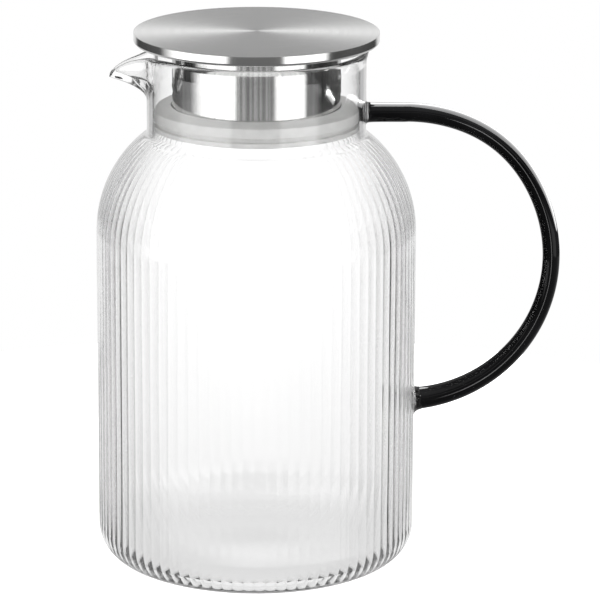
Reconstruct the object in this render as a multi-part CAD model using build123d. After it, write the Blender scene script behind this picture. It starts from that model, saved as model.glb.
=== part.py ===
from build123d import *
import os
from math import acos, asin, atan2, cos, pi, radians, sin

# A ribbed glass pitcher with a handle of dark glass rod and a steel stopper lid on a silicone seal.
# Frame: origin at the middle of the foot, +Z up, spout towards -X, handle towards +X. Millimetres.

# Glass vessel
body_radius = 65.0  # over the crests of the ribs
body_wall = 2.3  # from the valleys of the ribs to the smooth inside
base_corner_radius = 14.0
base_thickness = 3.5
floor_corner_radius = 11.5
foot_ring_width = 6.5  # flat ring that stands on the table
push_up = 1.5  # rise of the underside inside the foot ring
push_up_slope = 8.0  # width of the slope up from the foot ring
shoulder_start = 138.0  # height where the upright wall begins to turn in
shoulder_radius = 50.0
shoulder_width = 20.7  # from the wall in to the neck
corner_step_count = 2  # straight steps round each half of the base corner
floor_step_count = 3  # straight steps round the corner of the floor
shoulder_step_count = 4  # straight steps round the shoulder
collar_step_count = 1  # straight steps from the ends of the ribs to the neck

# Ribs moulded in the outside of the glass
rib_count = 90
rib_depth = 0.2
rib_start_angle = 48.0  # degrees round the base corner where the ribs fade in
rib_end_angle = 47.0  # degrees round the shoulder where the ribs fade out
rib_end_step = 0.05  # fall from the ends of the ribs to the smooth glass
rib_fade_power = 4  # the ribs keep their depth and then fade quickly

# Neck, rim and spout
neck_wall = 2.6
neck_height = 34.9  # from the corner with the shoulder to the crest of the rim
rim_flare = 1.2
rim_flare_height = 5.0
spout_overhang = 15.5  # from the neck out to the tip
spout_tip_radius = 4.0
spout_side_radius = 14.0  # hollow sweep between the neck and the tip
spout_root_drop = 22.0  # below the rim, where the spout leaves the neck
spout_tip_drop = 11.7  # below the rim, underside of the tip
spout_floor = 2.2  # glass under the channel
spout_curve = 2.2  # power that the underside follows on its way out
spout_step_count = 3
lip_run = 23.8  # from the tip back to where the rim starts to dip
lip_turn = 7.8  # from the tip back to where the lip turns down
lip_turn_drop = 5.4
lip_tip_drop = 11.2
back_arc_count = 3  # arcs round the back of the neck
front_arc_count = 4  # arcs round the spout: two sweeps and the nose in halves
seam_angle = 12.0  # degrees from the spout, where plain rings are parted

# Handle of round glass rod and the clear glass that joins it on
rod_diameter = 7.8  # at the neck
rod_waist = 7.0  # half way round the bend, where the hot rod was drawn thin
rod_foot = 9.2  # at the wall of the vessel
rod_taper_power = 1.5  # how quickly the rod thickens away from its waist
handle_straight = 14.5  # level run from the neck's weld to the bend
handle_bend_radius = 60.4  # of the rod's centre line
handle_top_drop = 26.3  # below the rim, straight run at the neck
bend_step_count = 20
upper_weld_length = 1.0
upper_weld_diameter = 10.0
lower_weld_length = 1.5
lower_weld_diameter = 12.8

# Steel lid
sheet = 0.8
lid_overhang = 5.2  # from the neck out to the edge of the lid
lid_edge_height = 4.2
lid_edge_bevel = 0.5
lid_gap = 2.8  # between the rim and the underside of the lid
lid_hem = 3.5  # edge of the top plate, folded in under the cup's flange
lid_cup_depth = 34.6  # from the lid's underside to the bottom of the cup
flange_clearance = 0.3

# Silicone seal
seal_width = 7.1
seal_clearance = 0.3  # to the cup inside it and to the neck outside it
seal_height = 9.4
seal_top_slope = 1.5  # fall of the top from the cup to the rim of the seal
seal_lower_lip = 2.0
seal_groove_width = 1.8
seal_groove_depth = 1.6

# Heights and radii that follow
shoulder_centre = body_radius - shoulder_radius
corner_centre = body_radius - base_corner_radius
neck_radius = body_radius - shoulder_width
neck_bore = neck_radius - neck_wall
collar_radius = shoulder_radius - rib_end_step
neck_angle = acos((neck_radius - shoulder_centre) / collar_radius)
neck_start = shoulder_start + collar_radius * sin(neck_angle)
rim = neck_start + neck_height
spout_reach = neck_radius + spout_overhang
inner_radius = body_radius - rib_depth - body_wall
inner_shoulder = shoulder_radius - rib_depth - body_wall
lid_radius = neck_radius + lid_overhang
lid_cup_radius = neck_bore - seal_width - 2 * seal_clearance
lid_underside = rim + lid_gap
lid_top = lid_underside + lid_edge_height
cup_bottom = lid_underside - lid_cup_depth
handle_top = rim - handle_top_drop
through = 1.0  # how far a cutting tool runs past the face that it opens


def spaced(start, end, sections):
    """Even steps from start to end, both included."""
    return [start + (end - start) * step / sections for step in range(sections + 1)]


def ruled(outlines):
    """Solid with straight walls from each outline to the next."""
    return Solid.make_loft(outlines, ruled=True)


def level_arc(centre, radius, start, end, height):
    """Level arc about a centre, between two angles."""
    points = [(centre.X + radius * cos(a), centre.Y + radius * sin(a), height) for a in spaced(start, end, 2)]
    return Edge.make_three_point_arc(*points)


def level_arcs(centre, radius, angles, height):
    return [level_arc(centre, radius, start, end, height) for start, end in zip(angles, angles[1:])]


def ring(radius, height):
    """Plain circle, parted into as many arcs as a spout outline."""
    seam = radians(seam_angle)
    back = spaced(seam - pi, pi - seam, back_arc_count)
    front = spaced(pi - seam, pi + seam, front_arc_count)
    return Wire(level_arcs(Vector(), radius, back + front[1:], height))


def rings(centre, radius, angles):
    """Plain circles up an upright arc about a centre given as radius and height, at angles above level."""
    return [ring(centre[0] + radius * cos(a), centre[1] + radius * sin(a)) for a in angles]


def rib_outline(radius, height, depth):
    """Closed ring of rounded ribs at one height: one curve for each rib, from valley to valley."""
    half_pitch = pi / rib_count
    valley = radius - depth
    ribs = []
    for rib in range(rib_count):
        middle = 2 * half_pitch * rib
        start = Vector(valley * cos(middle - half_pitch), valley * sin(middle - half_pitch), height)
        end = Vector(valley * cos(middle + half_pitch), valley * sin(middle + half_pitch), height)
        crest = Vector(radius * cos(middle), radius * sin(middle), height)
        ribs.append(Edge.make_bezier(start, crest * 2 - (start + end) * 0.5, end))
    return Wire(ribs)


def rib_outlines(centre, radius, span, sections):
    """Rib outlines up an upright arc about a centre given as radius and height, fading at its far end."""
    outlines = []
    for share in spaced(0, 1, sections):
        angle = radians(span * share)
        depth = rib_depth * (1 - share**rib_fade_power)
        outlines.append(rib_outline(centre[0] + radius * cos(angle), centre[1] + radius * sin(angle), depth))
    return outlines


def ribbed_wall():
    """Outside from the base corner to the shoulder, solid, with ribs that fade out at both ends."""
    low = (corner_centre, base_corner_radius)
    high = (shoulder_centre, shoulder_start)
    corner = rib_outlines(low, base_corner_radius, -rib_start_angle, corner_step_count)
    shoulder = rib_outlines(high, shoulder_radius, rib_end_angle, shoulder_step_count)
    return ruled(corner[::-1] + shoulder)


def foot():
    """Smooth turn from the ends of the ribs down to the flat ring that stands on the table."""
    top = base_corner_radius * (1 - sin(radians(rib_start_angle)))
    radius = base_corner_radius - rib_end_step
    angles = spaced(-pi / 2, asin(top / radius - 1), corner_step_count)
    return ruled(rings((corner_centre, radius), radius, angles))


def foot_hollow():
    """Space under the push-up inside the foot ring."""
    edge = corner_centre - foot_ring_width
    return ruled([ring(edge, -through), ring(edge, 0), ring(edge - push_up_slope, push_up)])


def spout_outline(height, radius, reach, tip_radius, side_radius):
    """Neck circle with the spout's nose: round back, two hollow side sweeps and a round tip, all tangent."""
    tip = reach - tip_radius
    side = radius + side_radius
    leave = acos((side**2 + tip**2 - (tip_radius + side_radius) ** 2) / (2 * side * tip))
    side_a = Vector(-side * cos(leave), side * sin(leave))
    side_b = Vector(side_a.X, -side_a.Y)
    meet = atan2(side_a.Y, side_a.X + tip)
    back = level_arcs(Vector(), radius, spaced(leave - pi, pi - leave, back_arc_count), height)
    sweep_a = level_arc(side_a, side_radius, -leave, meet - pi, height)
    nose = level_arcs(Vector(-tip, 0), tip_radius, [meet, pi, 2 * pi - meet], height)
    sweep_b = level_arc(side_b, side_radius, pi - meet, leave, height)
    return Wire(back + [sweep_a] + nose + [sweep_b])


def mouth_outlines(inset, floor, top):
    """Outlines of neck and spout from the spout's root up: outside, or inside where inset is the wall."""
    radius = neck_radius - inset
    reach = spout_reach - inset
    tip_radius = spout_tip_radius - inset
    side_radius = spout_side_radius + inset
    low = rim - spout_root_drop + floor
    high = rim - spout_tip_drop + floor
    flare_start = rim - rim_flare_height
    flared = radius + rim_flare * (top - flare_start) / rim_flare_height
    outlines = [ring(radius, low)]
    for share in spaced(0, 1, spout_step_count)[1:]:
        out = radius + (reach - radius) * share**spout_curve
        outlines.append(spout_outline(low + (high - low) * share, radius, out, tip_radius, side_radius))
    outlines.append(spout_outline(flare_start, radius, reach, tip_radius, side_radius))
    outlines.append(spout_outline(top, flared, reach, tip_radius, side_radius))
    return outlines


def neck():
    """Smooth top of the shoulder, the neck and the outside of its spout, solid."""
    low = shoulder_start + shoulder_radius * sin(radians(rib_end_angle))
    angles = spaced(asin((low - shoulder_start) / collar_radius), neck_angle, collar_step_count)
    return ruled(rings((shoulder_centre, shoulder_start), collar_radius, angles) + mouth_outlines(0, 0, rim))


def inside():
    """Smooth space inside the vessel, its neck and its spout."""
    floor_edge = inner_radius - floor_corner_radius
    corner_height = base_thickness + floor_corner_radius
    bore_angle = acos((neck_bore - shoulder_centre) / inner_shoulder)
    corner_angles = spaced(-pi / 2, 0, floor_step_count)
    shoulder_angles = spaced(0, bore_angle, shoulder_step_count)
    corner = rings((floor_edge, corner_height), floor_corner_radius, corner_angles)
    shoulder = rings((shoulder_centre, shoulder_start), inner_shoulder, shoulder_angles)
    return ruled(corner + shoulder + mouth_outlines(neck_wall, spout_floor, rim + through))


def lip_cut():
    """Space above the spout's lip, which falls gently from the rim and then turns down to the tip."""
    start = (lip_run - spout_reach, 0, rim)
    turn = (lip_turn - spout_reach, 0, rim - lip_turn_drop)
    end = (-spout_reach - through, 0, rim - lip_tip_drop - through)
    above = rim + 2 * through
    run = Line(start, turn)
    fall = TangentArc(turn, end, tangent=run % 1)
    roof = Polyline(end, (end[0], 0, above), (start[0], 0, above), start)
    return extrude(make_face([run, fall, roof]), neck_radius, both=True)


def handle_lines():
    """Rod's centre line: level out of the neck, then one long bend back to the wall of the vessel."""
    start = neck_radius + upper_weld_length
    turn = start + handle_straight
    wall_end = body_radius + lower_weld_length
    middle = handle_top - handle_bend_radius
    end = acos((wall_end - turn) / handle_bend_radius)
    points = [
        (turn + handle_bend_radius * cos(a), 0, middle + handle_bend_radius * sin(a))
        for a in spaced(pi / 2, -end, 2)
    ]
    return Line((start, 0, handle_top), (turn, 0, handle_top)), ThreePointArc(*points)


def rod_radius(share):
    """Half the rod's thickness, by its share of the way round the bend."""
    end = rod_diameter if share < 0.5 else rod_foot
    return (rod_waist + (end - rod_waist) * abs(2 * share - 1) ** rod_taper_power) / 2


def rod_outline(point, direction, radius):
    return Wire.make_circle(radius, Plane(point, x_dir=(0, 1, 0), z_dir=direction))


def handle(straight, bend):
    """Round rod lofted along its centre line."""
    outlines = [rod_outline(straight @ 0, straight % 0, rod_diameter / 2)]
    for share in spaced(0, 1, bend_step_count):
        outlines.append(rod_outline(bend @ share, bend % share, rod_radius(share)))
    return ruled(outlines)


def weld(end, outward, length, diameter, rod, glass):
    """Flared bead of clear glass between the end of the rod and the vessel, shaped to the vessel's glass."""
    root = body_wall  # runs on into the vessel before it is trimmed
    slope = (diameter - rod) / 2 / length
    cone = Solid.make_cone(rod / 2 + slope * (length + root), rod / 2, length + root)
    return Plane(end - outward * (length + root), z_dir=outward) * cone - glass


def turned(*points):
    """Solid turned about the pitcher's axis from corners given as radius and height."""
    return revolve(make_face(Polyline([(x, 0, z) for x, z in points], close=True)), Axis.Z)


def lid_top_plate():
    """Drawn cap with a bevelled top edge and a hem folded in under the flange of the cup."""
    inner = lid_radius - sheet
    hem = lid_radius - lid_hem
    return turned(
        (0, lid_top - sheet),
        (0, lid_top),
        (lid_radius - lid_edge_bevel, lid_top),
        (lid_radius, lid_top - lid_edge_bevel),
        (lid_radius, lid_underside),
        (hem, lid_underside),
        (hem, lid_underside + sheet),
        (inner, lid_underside + sheet),
        (inner, lid_top - sheet),
    )


def lid_cup():
    """Drawn cup that hangs in the neck from a flange held in the hem of the top plate."""
    flange = lid_radius - sheet - flange_clearance
    flange_low = lid_underside + sheet
    flange_high = flange_low + sheet
    bore = lid_cup_radius - sheet
    return turned(
        (0, cup_bottom),
        (lid_cup_radius, cup_bottom),
        (lid_cup_radius, flange_low),
        (flange, flange_low),
        (flange, flange_high),
        (bore, flange_high),
        (bore, cup_bottom + sheet),
        (0, cup_bottom + sheet),
    )


def silicone_seal():
    """Ring round the foot of the cup with a sloping top and two lips parted by a groove."""
    bore = lid_cup_radius + seal_clearance
    lip = bore + seal_width
    groove_low = cup_bottom + seal_lower_lip
    groove_high = groove_low + seal_groove_width
    groove = lip - seal_groove_depth
    top = cup_bottom + seal_height
    return turned(
        (bore, cup_bottom),
        (lip, cup_bottom),
        (lip, groove_low),
        (groove, groove_low),
        (groove, groove_high),
        (lip, groove_high),
        (lip, top - seal_top_slope),
        (bore, top),
    )


outside = ribbed_wall() + foot() + neck() - foot_hollow()
straight, bend = handle_lines()
upper_weld = weld(straight @ 0, straight % 0, upper_weld_length, upper_weld_diameter, rod_diameter, outside)
lower_weld = weld(bend @ 1, -(bend % 1), lower_weld_length, lower_weld_diameter, rod_foot, outside)

parts = {
    "glass_body": outside - inside() - lip_cut(),
    "handle": handle(straight, bend),
    "upper_handle_weld": upper_weld,
    "lower_handle_weld": lower_weld,
    "lid_top_plate": lid_top_plate(),
    "lid_cup": lid_cup(),
    "silicone_seal": silicone_seal(),
}

os.makedirs("parts", exist_ok=True)
for name, shape in parts.items():
    export_step(shape, f"parts/{name}.step")
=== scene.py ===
from math import acos, atan2, cos, pi, radians, sin, sqrt

import bmesh
import bpy
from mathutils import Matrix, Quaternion, Vector


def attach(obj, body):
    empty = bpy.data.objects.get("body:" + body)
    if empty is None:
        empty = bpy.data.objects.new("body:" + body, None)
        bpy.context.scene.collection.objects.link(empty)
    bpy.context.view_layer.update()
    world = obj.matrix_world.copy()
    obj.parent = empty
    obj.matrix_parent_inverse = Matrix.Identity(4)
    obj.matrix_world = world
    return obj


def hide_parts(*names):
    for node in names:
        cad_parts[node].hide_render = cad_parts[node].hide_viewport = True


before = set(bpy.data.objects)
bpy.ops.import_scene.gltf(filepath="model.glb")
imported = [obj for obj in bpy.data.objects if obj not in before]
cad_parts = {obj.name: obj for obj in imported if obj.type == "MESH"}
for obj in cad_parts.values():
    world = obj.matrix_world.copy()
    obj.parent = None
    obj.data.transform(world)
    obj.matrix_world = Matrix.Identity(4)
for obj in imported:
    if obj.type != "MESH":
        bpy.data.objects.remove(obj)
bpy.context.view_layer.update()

# Sizes in millimetres; the main ones are the CAD model's, and the finish is finer here
mm = 0.001

# Wall and base of the vessel
body_radius = 65.0
rib_count = 90
rib_depth = 0.32  # deeper than the CAD model's 0.2, so that the ribs' lines show
rib_steps = (-1, -0.95, -0.78, -0.42, 0, 0.42, 0.78, 0.95)  # columns of one rib, gathered at its valleys
rib_start, rib_fade = 1.2, 4  # height at which the ribs begin, and over which they grow
corner_radius = 14.0
foot_width = 6.5
shoulder_start = 138.0
shoulder_radius = 50.0
shoulder_centre = body_radius - shoulder_radius
wall = 2.5
push_up, push_up_slope = 0.6, 30  # flatter than the CAD model's 1.5
base_thickness = 3.5
floor_corner = 11.5
floor_rise, floor_slope = 1.1, 45

# Neck and spout
neck_radius = 44.3
neck_wall = 2.6
neck_fillet = 3.0
rim = 213.354
rim_round = 1.2
rim_flare, rim_flare_height, rim_flare_curve = 1.2, 6, 1.6
spout_reach, spout_curve = 59.8, 2.2
spout_root = rim - 22.0
spout_tip = rim - 11.7
spout_floor = 2.2
spout_tip_radius, spout_side_radius = 4.0, 14.0
lip_start, lip_run, lip_fall, lip_ease = 36.0, 16, 5.4, 4.0
lip_tip_run, lip_tip_fall = 8.8, 3.83

# Handle, with radii of its rod
rod_top, rod_waist, rod_foot, rod_taper = 3.9, 3.5, 4.6, 1.5
rod_start = neck_radius + 0.8
rod_swell, rod_swell_run = 0.3, 3
rod_foot_gap, rod_foot_run = 1.5, 0.9
bend_radius = 60.4
bend_x = 59.8
bulge, bulge_angle, bulge_width = 1.1, radians(52), radians(24)
handle_top = rim - 26.3
weld_curve = 2.4
upper_weld_length, upper_weld_radius, upper_weld_flare = 1.3, rod_top + 0.2, 0.8
lower_weld_length, lower_weld_radius, lower_weld_flare = 2.6, rod_foot + 0.15, 1.7

# Lid and seal
sheet = 0.8
lid_radius = 49.5
lid_underside = rim + 2.8
lid_top = lid_underside + 4.2
lid_crown = 0.25
hem_width = 3.5
flange_gap = 0.3
cup_radius = 34.0
cup_bottom = lid_underside - 34.6
seal_bore = 34.3
seal_lip = 41.4
seal_top = cup_bottom + 9.4
seal_slope = 1.5
groove_depth, groove_low, groove_high = 1.6, cup_bottom + 2, cup_bottom + 3.8


# Meshes

def spread(start, end, count):
    """Even steps from start to end, both included."""
    return [start + (end - start) * i / count for i in range(count + 1)]


def arc(centre, radius, start, end, count):
    """Points of an arc in the upright plane, as radius and height, between two angles in degrees."""
    angles = [radians(a) for a in spread(start, end, count)]
    return [(centre[0] + radius * cos(a), centre[1] + radius * sin(a)) for a in angles]


def skin(name, rings):
    """Smooth mesh through rings of points in millimetres; a ring of one point is a pole."""
    verts, starts = [], []
    for ring in rings:
        starts.append(len(verts))
        verts += [(x * mm, y * mm, z * mm) for x, y, z in ring]
    faces = []
    for k in range(len(rings) - 1):
        a, b = starts[k], starts[k + 1]
        na, nb = len(rings[k]), len(rings[k + 1])
        for i in range(max(na, nb)):
            j = (i + 1) % max(na, nb)
            if na == 1:
                faces.append((a, b + j, b + i))
            elif nb == 1:
                faces.append((a + i, a + j, b))
            else:
                faces.append((a + i, a + j, b + j, b + i))
    mesh = bpy.data.meshes.new(name)
    mesh.from_pydata(verts, [], faces)
    bm = bmesh.new()
    bm.from_mesh(mesh)
    bmesh.ops.recalc_face_normals(bm, faces=bm.faces)
    for face in bm.faces:
        face.smooth = True
    bm.to_mesh(mesh)
    bm.free()
    piece = bpy.data.objects.new(name, mesh)
    bpy.context.collection.objects.link(piece)
    return piece


def lathe(name, profile, columns=256):
    """Closed mesh turned about the pitcher's axis from points given as radius and height."""
    rings = []
    for r, z in profile:
        if r < 1e-6:
            rings.append([(0, 0, z)])
        else:
            rings.append([(r * cos(a), r * sin(a), z) for a in spread(0, 2 * pi, columns)[:-1]])
    return skin(name, rings)


def rounded(points, radii, count=5, most=0.4, lead=0.15):
    """Profile with corners rounded, by one radius or one for each corner, and a short lead to each curve."""
    out = [points[0]]
    if isinstance(radii, float):
        radii = [radii] * (len(points) - 2)
    for before, here, after, radius in zip(points, points[1:], points[2:], radii):
        p, q, s = Vector(before), Vector(here), Vector(after)
        into, out_of = (p - q).normalized(), (s - q).normalized()
        cut = min(radius, (p - q).length * most, (s - q).length * most)
        a, b = q + into * cut, q + out_of * cut
        out.append(tuple(a + into * cut * lead))
        for t in spread(0, 1, count):
            out.append(tuple(a * (1 - t) ** 2 + q * (2 * t * (1 - t)) + b * t**2))
        out.append(tuple(b + out_of * cut * lead))
    return out + [points[-1]]


# Glass vessel

def smooth_step(t):
    """Smooth rise from 0 to 1 as t goes from 0 to 1."""
    t = min(1, max(0, t))
    return t * t * (3 - 2 * t)


def wander(angle, height):
    """Share of a rib's width by which it strays sideways."""
    return 0.02 * sin(height / 31 + 5 * sin(3 * angle)) + 0.012 * sin(height / 13 + 7 * cos(5 * angle))


def unevenness(angle, height):
    """Small waves that blown glass has on its inside."""
    broad = 0.10 * sin(2 * angle + height / 37)
    return broad + 0.06 * sin(5 * angle - height / 23) + 0.04 * sin(9 * angle + height / 17)


def lip_height(x):
    """Height of the rim over the spout, which falls gently and then turns down to the tip."""
    d = -x - lip_start
    if d < -lip_ease:
        return rim
    slope = lip_fall / lip_run
    if d < lip_ease:
        return rim - slope * (d + lip_ease) ** 2 / (4 * lip_ease)
    if d < lip_run:
        return rim - slope * d
    d -= lip_run
    return rim - lip_fall - slope * d - lip_tip_fall * (d / lip_tip_run) ** 2


def mouth_point(share, height, inset, floor):
    """Point on half of the neck's outline, by its share of the way from the back to the spout's tip."""
    flare = max(0.0, (height - rim + rim_flare_height) / rim_flare_height) ** rim_flare_curve * rim_flare
    rise = min(1, max(0, (height - spout_root - floor) / (spout_tip - spout_root)))
    plain = neck_radius - inset
    radius = plain + flare
    if rise < 0.02:
        return radius * cos(pi * share), radius * sin(pi * share)
    reach = max(plain + (spout_reach - inset - plain) * rise**spout_curve, radius + 0.01)
    tip_radius, side_radius = spout_tip_radius - inset, spout_side_radius + inset
    tip, side = reach - tip_radius, radius + side_radius
    leave = acos(min(1, (side**2 + tip**2 - (tip_radius + side_radius) ** 2) / (2 * side * tip)))
    cx, cy = -side * cos(leave), side * sin(leave)
    meet = atan2(cy, cx + tip)
    back = radius * (pi - leave)
    sweep = side_radius * (pi - meet - leave)
    nose = tip_radius * (pi - meet)
    way = share * (back + sweep + nose)
    if way < back:
        return radius * cos(way / radius), radius * sin(way / radius)
    if way < back + sweep:
        a = -leave - (way - back) / side_radius
        return cx + side_radius * cos(a), cy + side_radius * sin(a)
    a = meet + (way - back - sweep) / tip_radius
    return -tip + tip_radius * cos(a), tip_radius * sin(a)


def mouth_column(share, inset, floor, count):
    """Points from the spout's root up to the rim, on one column of the neck."""
    top = rim
    for _ in range(40):
        top += (lip_height(mouth_point(share, top, inset, floor)[0]) - top) * 0.5
    top -= rim_round
    low = spout_root + (floor if inset else 0)
    return [(*mouth_point(share, z, inset, floor), z) for z in spread(low, top, count)]


def neck_bend(shoulder, fillet, neck):
    """Height of the centre of the fillet between shoulder and neck, and the angle in degrees where they meet."""
    across = neck + fillet - shoulder_centre
    height = shoulder_start + sqrt((shoulder + fillet) ** 2 - across**2)
    return height, atan2(height - shoulder_start, across) * 180 / pi


def outer_profile():
    """Outside from the foot to the spout's root: radius, height and share of the ribs' depth."""
    corner_x = body_radius - corner_radius
    foot_edge = corner_x - foot_width
    fillet_z, meet = neck_bend(shoulder_radius, neck_fillet, neck_radius)
    points = []
    for r in (8, 14, 20, 26, 32, 38, 42, 44.5, 46, 48.5):
        points.append((r, push_up * smooth_step((foot_edge - r) / push_up_slope), 0))
    for r, z in arc((corner_x, corner_radius), corner_radius, -90, -5, 17):
        points.append((r, z, smooth_step((z - rib_start) / rib_fade)))
    points += [(body_radius, z, 1) for z in spread(corner_radius, shoulder_start, 16)]
    shoulder_rows = 22
    shoulder = arc((shoulder_centre, shoulder_start), shoulder_radius, 2, meet, shoulder_rows)
    for k, (r, z) in enumerate(shoulder):
        points.append((r, z, 1 - (k / shoulder_rows) ** 4))
    fillet = arc((neck_radius + neck_fillet, fillet_z), neck_fillet, 180 + meet, 180, 6)
    points += [(r, z, 0) for r, z in fillet[1:]]
    return points + [(neck_radius, z, 0) for z in spread(fillet_z + 2, spout_root - 1, 3)]


def inner_profile():
    """Inside from the spout's root down to the floor: radius, height and share of the waves."""
    bore, inside = neck_radius - neck_wall, body_radius - wall
    shoulder, fillet = shoulder_radius - wall, neck_fillet + neck_wall
    fillet_z, meet = neck_bend(shoulder, fillet, bore)
    floor_x, floor_z = inside - floor_corner, base_thickness + floor_corner
    points = [(bore, z, 0) for z in spread(spout_root + spout_floor - 1, fillet_z + 2, 3)]
    points += [(r, z, 0) for r, z in arc((bore + fillet, fillet_z), fillet, 180, 180 + meet, 6)]
    points += [(r, z, 0.3) for r, z in arc((shoulder_centre, shoulder_start), shoulder, meet, 2, 16)[1:]]
    points += [(inside, z, 1) for z in spread(shoulder_start, floor_z, 16)]
    points += [(r, z, 0.3) for r, z in arc((floor_x, floor_z), floor_corner, -6, -90, 14)]
    for r in (47, 42, 36, 28, 20, 10):
        points.append((r, base_thickness + floor_rise * smooth_step((floor_x - r) / floor_slope), 0))
    return points


def mouth_path(share, outer_rows, rim_rows, inner_rows):
    """One column of the neck, up its outside, over the rim and down its inside."""
    up = mouth_column(share, 0, 0, outer_rows)
    down = mouth_column(share, neck_wall, spout_floor, inner_rows)[::-1]
    a, b = Vector(up[-1]), Vector(down[0])
    over = []
    for t in spread(0, 1, rim_rows)[1:-1]:
        p = a + (b - a) * (1 - cos(pi * t)) / 2
        over.append((p.x, p.y, p.z + rim_round * sin(pi * t)))
    return up + over + down


def glass_vessel():
    """Vessel in one skin: up the ribbed outside, over the rim with its spout, and down the waved inside."""
    pitch = 2 * pi / rib_count
    columns = [((k + step / 2) * pitch, step**2) for k in range(rib_count) for step in rib_steps]
    angles = [a for a, _ in columns]

    rows = 22, 8, 18  # outside, rim and inside of the neck
    shares = [(1 - abs(1 - a % (2 * pi) / pi), 1 if a % (2 * pi) <= pi else -1) for a in angles]
    mouths = {}
    for share, _ in shares:
        key = round(share, 9)
        if key not in mouths:
            mouths[key] = mouth_path(share, *rows)

    rings = [[(0, 0, push_up)]]
    for r, z, ribbed in outer_profile():
        ring = []
        for a, valley in columns:
            q = r - rib_depth * ribbed * valley
            a -= pitch * ribbed * wander(a, z)
            ring.append((q * cos(a), q * sin(a), z))
        rings.append(ring)
    for row in range(sum(rows) + 1):
        ring = []
        for share, side in shares:
            x, y, z = mouths[round(share, 9)][row]
            ring.append((x, y * side, z))
        rings.append(ring)
    for r, z, wavy in inner_profile():
        ring = []
        for a in angles:
            q = r + wavy * unevenness(a, z)
            ring.append((q * cos(a), q * sin(a), z))
        rings.append(ring)
    rings.append([(0, 0, base_thickness + floor_rise)])
    return skin("glass_vessel", rings)


# Handle and its welds

def tube(name, stations, columns=48):
    """Round skin through stations of point, direction in the XZ plane and radius, closed at both ends."""
    rings = [[stations[0][0]]]
    for (x, y, z), (dx, dz), radius in stations:
        ring = []
        for a in spread(0, 2 * pi, columns)[:-1]:
            across, side = radius * cos(a), radius * sin(a)
            ring.append((x - dz * across, y + side, z + dx * across))
        rings.append(ring)
    rings.append([stations[-1][0]])
    return skin(name, rings)


bend_z = handle_top - bend_radius
bend_end = -acos((body_radius + rod_foot_gap - bend_x) / bend_radius)
foot_end = Vector((bend_x + bend_radius * cos(bend_end), 0, bend_z + bend_radius * sin(bend_end)))
foot_way = Vector((sin(bend_end), 0, -cos(bend_end)))


def rod_stations():
    """Drawn rod: level out of the neck, then the bend, thin at its waist and thick at its foot."""
    stations = []
    for x in spread(rod_start, bend_x, 14):
        radius = rod_top + rod_swell * 2.7 ** (-(x - neck_radius) / rod_swell_run)
        stations.append(((x, 0, handle_top), (1, 0), radius))
    steps = 96
    for k, a in enumerate(spread(pi / 2, bend_end, steps)[1:], 1):
        share = k / steps
        end = rod_top if share < 0.5 else rod_foot
        radius = rod_waist + (end - rod_waist) * abs(2 * share - 1) ** rod_taper
        out = bend_radius + bulge * 2.718 ** -(((a - bulge_angle) / bulge_width) ** 2)
        point = (bend_x + out * cos(a), 0, bend_z + out * sin(a))
        stations.append((point, (sin(a), -cos(a)), radius))
    last = foot_end + foot_way * rod_foot_run
    return stations + [(tuple(last), (foot_way.x, foot_way.z), rod_foot)]


def weld(name, vessel_radius, root, outward, length, rod_radius, flare, columns=64):
    """Bead of clear glass that flares from the rod to the vessel and lies on its round wall."""
    side_way = Vector((0, 1, 0))
    up_way = outward.cross(side_way)
    rings = [[tuple(root)]]
    for t in spread(0, 1, 12):
        radius = rod_radius + flare * (1 - t) ** weld_curve
        ring = []
        for a in spread(0, 2 * pi, columns)[:-1]:
            lump = 0.035 * sin(3 * a + 1) + 0.02 * sin(5 * a)
            across = (side_way * cos(a) + up_way * sin(a)) * radius * (1 + lump * (1 - t))
            p = root + outward * (length * t) + across
            on_wall = sqrt(max(0, vessel_radius**2 - p.y**2))
            ring.append((p.x + (on_wall - p.x) * (1 - t) ** 2, p.y, p.z))
        rings.append(ring)
    rings.append([tuple(root + outward * length)])
    return skin(name, rings)


# Materials

def material(name):
    """New material with its nodes, links and main shader."""
    mat = bpy.data.materials.new(name)
    mat.use_nodes = True
    tree = mat.node_tree
    return mat, tree.nodes, tree.links, tree.nodes["Principled BSDF"]


def node(nodes, kind, **settings):
    made = nodes.new(kind)
    for key, value in settings.items():
        setattr(made, key, value)
    return made


def math_node(nodes, links, operation, *values):
    """Math node on numbers or sockets."""
    made = node(nodes, "ShaderNodeMath", operation=operation)
    for socket, value in zip(made.inputs, values):
        if isinstance(value, (int, float)):
            socket.default_value = value
        else:
            links.new(value, socket)
    return made.outputs[0]


def polar(nodes, links):
    """Radius and angle about the pitcher's axis, and height, from the object's own coordinates."""
    where = node(nodes, "ShaderNodeTexCoord").outputs["Object"]
    apart = node(nodes, "ShaderNodeSeparateXYZ")
    links.new(where, apart.inputs[0])
    x, y, z = apart.outputs
    xx = math_node(nodes, links, "MULTIPLY", x, x)
    yy = math_node(nodes, links, "MULTIPLY", y, y)
    radius = math_node(nodes, links, "SQRT", math_node(nodes, links, "ADD", xx, yy))
    angle = math_node(nodes, links, "ARCTAN2", y, x)
    return radius, angle, z


def noise_1d(nodes, links, value, scale, detail=2.0, roughness=0.5):
    """Noise along one coordinate."""
    made = node(nodes, "ShaderNodeTexNoise", noise_dimensions="1D")
    links.new(value, made.inputs["W"])
    made.inputs["Scale"].default_value = scale
    made.inputs["Detail"].default_value = detail
    made.inputs["Roughness"].default_value = roughness
    return made.outputs["Fac"]


def ramp(nodes, links, value, stops):
    """Colours or greys by value, from stops of position and colour."""
    made = node(nodes, "ShaderNodeValToRGB")
    while len(made.color_ramp.elements) < len(stops):
        made.color_ramp.elements.new(0.5)
    for element, (position, colour) in zip(made.color_ramp.elements, stops):
        element.position = position
        element.color = (*colour, 1) if isinstance(colour, tuple) else (colour, colour, colour, 1)
    links.new(value, made.inputs[0])
    return made.outputs[0]


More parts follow.
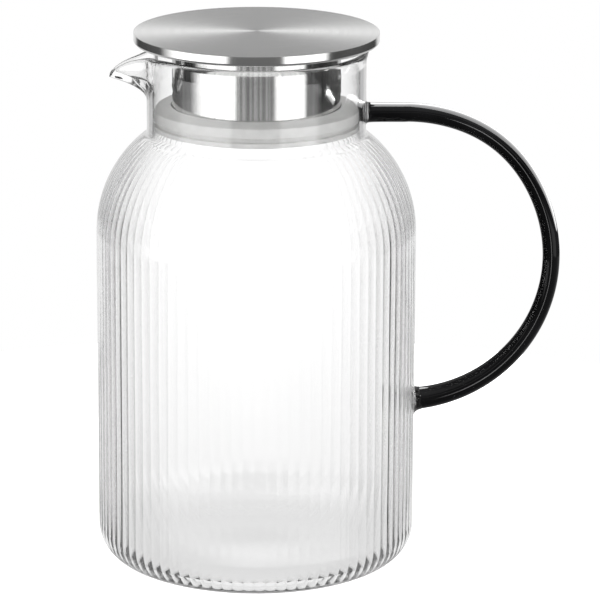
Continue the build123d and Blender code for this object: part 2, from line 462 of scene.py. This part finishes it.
def remap(nodes, links, value, low, high, to_low=0, to_high=1, **settings):
    """Value brought from one span to another, and held inside it."""
    made = node(nodes, "ShaderNodeMapRange", **settings)
    links.new(value, made.inputs["Value"])
    for name, number in (("From Min", low), ("From Max", high), ("To Min", to_low), ("To Max", to_high)):
        made.inputs[name].default_value = number
    return made.outputs[0]


def bump(nodes, links, shader, height, distance, strength):
    """Fine relief from a height."""
    made = node(nodes, "ShaderNodeBump")
    made.inputs["Strength"].default_value = strength
    made.inputs["Distance"].default_value = distance
    links.new(height, made.inputs["Height"])
    links.new(made.outputs[0], shader.inputs["Normal"])


def texture(nodes, links, scale, detail=3.0):
    """Noise over the object's own coordinates."""
    made = node(nodes, "ShaderNodeTexNoise")
    links.new(node(nodes, "ShaderNodeTexCoord").outputs["Object"], made.inputs["Vector"])
    made.inputs["Scale"].default_value = scale
    made.inputs["Detail"].default_value = detail
    return made.outputs["Fac"]


def clear_glass():
    mat, nodes, links, shader = material("clear_glass")
    shader.inputs["Base Color"].default_value = (1, 1, 1, 1)
    shader.inputs["Transmission Weight"].default_value = 1
    shader.inputs["IOR"].default_value = 1.47
    haze = remap(nodes, links, texture(nodes, links, 45), 0.35, 0.75, 0.0, 0.015)
    links.new(haze, shader.inputs["Roughness"])
    bump(nodes, links, shader, texture(nodes, links, 60), 0.00012, 0.35)
    return mat


def smoked_glass():
    mat, nodes, links, shader = material("smoked_glass")
    cloud = texture(nodes, links, 40)
    colours = [(0.3, (0.0010, 0.0010, 0.0011)), (0.7, (0.0030, 0.0030, 0.0032))]
    links.new(ramp(nodes, links, cloud, colours), shader.inputs["Base Color"])
    links.new(remap(nodes, links, cloud, 0.3, 0.7, 0.02, 0.05), shader.inputs["Roughness"])
    shader.inputs["IOR"].default_value = 1.52
    shader.inputs["Specular IOR Level"].default_value = 0.15
    return mat


def steel(name, along, fine_scale, broad_scale, greys, roughness, anisotropy, rotation, depth):
    """Brushed steel; along picks the coordinate that the scratches lie across: 0 radius, 1 angle, 2 height."""
    mat, nodes, links, shader = material(name)
    across = polar(nodes, links)[along]
    fine = noise_1d(nodes, links, across, fine_scale, 3, 0.7)
    broad = noise_1d(nodes, links, across, broad_scale, 2)
    both = math_node(nodes, links, "ADD", fine, math_node(nodes, links, "MULTIPLY", broad, 0.6))
    links.new(ramp(nodes, links, both, [(0.5, greys[0]), (1.05, greys[1])]), shader.inputs["Base Color"])
    shader.inputs["Metallic"].default_value = 1
    shader.inputs["Anisotropic"].default_value = anisotropy
    shader.inputs["Anisotropic Rotation"].default_value = rotation
    links.new(remap(nodes, links, broad, 0.3, 0.7, *roughness), shader.inputs["Roughness"])
    tangent = node(nodes, "ShaderNodeTangent", direction_type="RADIAL", axis="Z")
    links.new(tangent.outputs[0], shader.inputs["Tangent"])
    bump(nodes, links, shader, fine, depth, 0.4)
    return mat


def silicone():
    mat, nodes, links, shader = material("silicone")
    grain = texture(nodes, links, 260, 4)
    colours = [(0.3, (0.82, 0.82, 0.81)), (0.7, (0.92, 0.92, 0.91))]
    links.new(ramp(nodes, links, grain, colours), shader.inputs["Base Color"])
    links.new(remap(nodes, links, grain, 0.3, 0.7, 0.30, 0.44), shader.inputs["Roughness"])
    shader.inputs["Transmission Weight"].default_value = 0.25
    shader.inputs["IOR"].default_value = 1.41
    bump(nodes, links, shader, grain, 0.0001, 0.2)
    return mat


# Pieces

def place(piece, mat, body, slot, *nodes):
    """Give a piece its material and the body that it rides, and hide the CAD nodes that it replaces; slot is not
    used.
    """
    piece.data.materials.append(mat)
    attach(piece, body)
    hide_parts(*nodes)


glass = clear_glass()
place(glass_vessel(), glass, "pitcher", "clear_glass", "glass_body")
rod = tube("handle_rod", rod_stations())
place(rod, smoked_glass(), "pitcher", "smoked_glass", "handle")
upper_root, upper_way = Vector((neck_radius, 0, handle_top)), Vector((1, 0, 0))
upper_weld = weld(
    "upper_weld", neck_radius, upper_root, upper_way, upper_weld_length, upper_weld_radius, upper_weld_flare
)
place(upper_weld, glass, "pitcher", "clear_glass", "upper_handle_weld")
lower_root = foot_end + foot_way * ((body_radius - foot_end.x) / foot_way.x)
lower_weld = weld(
    "lower_weld", body_radius, lower_root, -foot_way, lower_weld_length, lower_weld_radius, lower_weld_flare
)
place(lower_weld, glass, "pitcher", "clear_glass", "lower_handle_weld")


def crowned(r):
    """Height of the lid's top at a radius."""
    return lid_top - lid_crown * (r / lid_radius) ** 2


inner_edge, hem = lid_radius - sheet, lid_radius - hem_width
plate = [(r, crowned(r)) for r in (0, 8, 16, 24, 32, 40)]
plate += rounded(
    [
        (47, crowned(47)),
        (lid_radius, lid_top - lid_crown),
        (lid_radius, lid_underside),
        (hem, lid_underside),
        (hem, lid_underside + sheet),
        (inner_edge, lid_underside + sheet),
        (inner_edge, lid_top - lid_crown - sheet),
        (20, lid_top - sheet),
        (0, lid_top - sheet),
    ],
    [0.012, 0.9, 0.35, 0.3, 0.3, 0.7, 0.7],
)
spun_greys = (0.43, 0.43, 0.425), (0.69, 0.69, 0.685)
spun = steel("spun_steel", 0, 2600, 240, spun_greys, (0.155, 0.185), 0.87, 0.25, 0.000005)
polished_greys = (0.78, 0.78, 0.78), (0.88, 0.88, 0.87)
polished = steel("polished_steel", 2, 900, 200, polished_greys, (0.12, 0.16), 0.0, 0.0, 0.000005)
lid = lathe("lid_plate", plate)
place(lid, spun, "lid", "brushed_steel", "lid_top_plate")
lid.data.materials.append(polished)
for face in lid.data.polygons:
    if face.normal.z < 0.9:
        face.material_index = 1

flange, flange_low = lid_radius - sheet - flange_gap, lid_underside + sheet
cup = rounded(
    [
        (0, cup_bottom),
        (20, cup_bottom),
        (cup_radius, cup_bottom),
        (cup_radius, flange_low),
        (flange, flange_low),
        (flange, flange_low + sheet),
        (cup_radius - sheet, flange_low + sheet),
        (cup_radius - sheet, cup_bottom + sheet),
        (20, cup_bottom + sheet),
        (0, cup_bottom + sheet),
    ],
    0.8,
)
drawn_greys = (0.55, 0.55, 0.55), (0.90, 0.90, 0.89)
drawn = steel("drawn_steel", 1, 190, 22, drawn_greys, (0.08, 0.15), 0.0, 0.0, 0.000003)
place(lathe("stopper_cup", cup), drawn, "lid", "brushed_steel", "lid_cup")

groove = seal_lip - groove_depth
ring = [
    (seal_bore, cup_bottom),
    (seal_lip, cup_bottom),
    (seal_lip, groove_low),
    (groove, groove_low),
    (groove, groove_high),
    (seal_lip, groove_high),
    (seal_lip, seal_top - seal_slope),
    (seal_bore, seal_top),
    (seal_bore, cup_bottom + 4),
    (seal_bore, cup_bottom),
]
place(lathe("seal_ring", rounded(ring, 0.5)), silicone(), "seal", "silicone", "silicone_seal")


# Floor, light and camera

def floor():
    """White disc just under the foot, which only the camera and matt faces see."""
    level = -0.1
    rings = [[(0, 0, level)]]
    for r in (80, 160, 240, 320):
        rings.append([(r * cos(a), r * sin(a), level) for a in spread(0, 2 * pi, 96)[:-1]])
    piece = skin("floor", rings)
    mat, _, _, shader = material("floor_white")
    shader.inputs["Base Color"].default_value = (0.9, 0.9, 0.9, 1)
    shader.inputs["Roughness"].default_value = 0.8
    shader.inputs["Emission Color"].default_value = (1, 1, 1, 1)
    shader.inputs["Emission Strength"].default_value = 0.65
    piece.data.materials.append(mat)
    piece.visible_transmission = False
    piece.visible_glossy = False


def studio():
    """White ground, two tall soft lights in front at the sides, dim walls, a pale table and a pale ceiling.

    The brightness goes by direction in the room, and by how the light has come: straight to the camera, off a
    matt face, off a shiny one, or through glass with or without a turn back inside it.
    """
    world = bpy.data.worlds.new("studio")
    bpy.context.scene.world = world
    world.use_nodes = True
    nodes, links = world.node_tree.nodes, world.node_tree.links
    light = nodes["Background"]
    light.inputs["Color"].default_value = (1, 1, 1, 1)
    apart = node(nodes, "ShaderNodeSeparateXYZ")
    links.new(node(nodes, "ShaderNodeTexCoord").outputs["Generated"], apart.inputs[0])
    x, y, z = apart.outputs
    path = node(nodes, "ShaderNodeLightPath")
    mirrored, passed = path.outputs["Glossy Depth"], path.outputs["Transmission Depth"]

    def calc(operation, *values):
        return math_node(nodes, links, operation, *values)

    def step(value, low, high):
        return remap(nodes, links, value, low, high, interpolation_type="SMOOTHSTEP")

    def both(a, b):
        return calc("MULTIPLY", a, b)

    def either(a, b):
        return calc("MAXIMUM", a, b)

    def any_of(count):
        return calc("MINIMUM", count, 1.0)

    def near(value, number, within):
        return calc("COMPARE", value, number, within)

    def between(value, low, high, soft):
        return both(step(value, low - soft, low + soft), step(value, high + soft, high - soft))

    def blend(share, a, b):
        return calc("ADD", a, both(share, calc("SUBTRACT", b, a)))

    def at(degrees):
        return (degrees + 180) / 360

    # Tall lights and the dark walls between them, by angle round the pitcher from the front
    turn = remap(nodes, links, calc("ARCTAN2", x, calc("MULTIPLY", y, -1.0)), -pi, pi)
    white, black, middle, tall_strength = 1.0, 0.027, 0.075, 1.9
    walls = [
        (-180, black), (-100, black), (-77, white), (-29, white), (-24, middle),
        (24, middle), (28, white), (66, white), (73, black), (180, black),
    ]
    lights = both(ramp(nodes, links, turn, [(at(d), v) for d, v in walls]), tall_strength)

    # What shiny faces show: table, dim walls, white wall behind, ceiling, tall lights and a bright band all round
    table_front, table_back, dim_wall, pale_wall, pale_ceiling, bright = 0.15, 0.6, 0.12, 0.8, 0.8, 1.34
    above_table, ceiling = step(z, -0.246, -0.236), step(z, 0.4, 0.52)
    back_wall = both(step(y, 0.75, 0.9), step(z, 0.12, 0.0))
    tall = both(both(above_table, step(z, -0.06, -0.12)), step(y, 0.93, 0.8))
    band = both(step(z, 0.15, 0.185), step(z, 0.25, 0.215))
    room = blend(above_table, blend(step(y, -0.3, 0.4), table_front, table_back), dim_wall)
    room = blend(ceiling, blend(back_wall, room, pale_wall), pale_ceiling)
    shiny = blend(band, blend(tall, room, lights), bright)

    # What is seen straight through the glass: white, a little greyer low down and at the sides
    ground_low, ground_high, ground_beside = 0.88, 1.13, 0.76
    beside = either(between(turn, at(-148), at(-92), 0.02), between(turn, at(92), at(148), 0.02))
    straight = blend(beside, blend(step(z, -0.345, -0.25), ground_low, ground_high), ground_beside)

    # What is seen after a turn back inside the glass: pale, with dark stretches that draw the ribs' lines
    pale_low, pale_high, line_low, line_high, darkest, overhead = 0.92, 0.62, 0.12, 0.03, 0.01, 0.12
    off_left = between(turn, at(-146), at(-70), 0.008)
    off_right = between(turn, at(70), at(146), 0.008)
    low = both(step(z, -0.262, -0.286), step(z, -0.323, -0.315))
    lowest = between(z, -0.3245, -0.3175, 0.001)
    turned = blend(step(z, -0.252, -0.215), pale_low, pale_high)
    turned = blend(either(off_left, off_right), turned, blend(step(z, -0.30, -0.262), line_low, line_high))
    turned = blend(either(both(off_left, low), both(off_right, lowest)), turned, darkest)
    through = blend(step(z, 0.25, 0.5), blend(any_of(mirrored), straight, turned), overhead)

    # Steel behind the neck's glass shows the tall lights too
    in_front = step(y, 0.1, -0.1)
    neck_level = both(step(z, -0.238, -0.233), either(step(z, -0.2, -0.207), in_front))
    seen = either(near(passed, 5.0, 1.5), both(near(passed, 2.0, 0.5), in_front))
    on_steel = both(both(near(mirrored, 1.0, 0.5), seen), neck_level)

    # Shiny faces outside the glass, then light for matt faces, then the white ground that the camera sees
    matt_light, camera_ground = 1.7, 1.0
    outside = both(any_of(mirrored), near(passed, 0.0, 0.5))
    strength = blend(outside, blend(on_steel, through, lights), shiny)
    strength = blend(any_of(path.outputs["Diffuse Depth"]), strength, matt_light)
    links.new(blend(path.outputs["Is Camera Ray"], strength, camera_ground), light.inputs["Strength"])


def rod_lamps():
    """Broad lamp above at the right and thin one in front, which light the handle rod alone."""
    lit = bpy.data.collections.new("rod_lit")
    lit.objects.link(rod)
    middle = Vector((0.09, 0, 0.12))
    for name, shape, way, distance, size, watts in (
        ("broad_lamp", "ELLIPSE", (0.62, 0.38, 0.69), 1.0, (2.3, 2.3), 250),
        ("thin_lamp", "RECTANGLE", (0.115, -0.96, -0.2), 0.8, (0.07, 0.4), 1.1),
    ):
        data = bpy.data.lights.new(name, "AREA")
        data.shape = shape
        data.size, data.size_y = size
        data.energy = watts
        lamp = bpy.data.objects.new(name, data)
        way = Vector(way).normalized()
        lamp.location = middle + way * distance
        lamp.rotation_mode = "QUATERNION"
        lamp.rotation_quaternion = way.to_track_quat("Z", "Y")
        lamp.visible_camera = False
        lamp.visible_transmission = False
        lamp.light_linking.receiver_collection = lit
        bpy.context.collection.objects.link(lamp)


def camera():
    """Long lens in front, a little above, with the photograph's slight roll."""
    tilt, distance, roll = radians(15.5), 1.695, radians(0.25)
    aim = Vector((0.0179, 0, 0.1082))
    back = Vector((0, -cos(tilt), sin(tilt)))
    data = bpy.data.cameras.new("camera")
    data.sensor_width = 36
    data.lens = 248.7
    data.clip_end = 20
    seen = bpy.data.objects.new("camera", data)
    seen.location = aim + back * distance
    seen.rotation_mode = "QUATERNION"
    seen.rotation_quaternion = back.to_track_quat("Z", "Y") @ Quaternion((0, 0, 1), roll)
    bpy.context.collection.objects.link(seen)
    bpy.context.scene.camera = seen


floor()
studio()
rod_lamps()
camera()
bpy.context.scene.view_settings.view_transform = "Standard"

# Enough bounces for light that is turned many times in the ribs
bpy.context.scene.cycles.max_bounces = 48
bpy.context.scene.cycles.glossy_bounces = 24
bpy.context.scene.cycles.transmission_bounces = 32
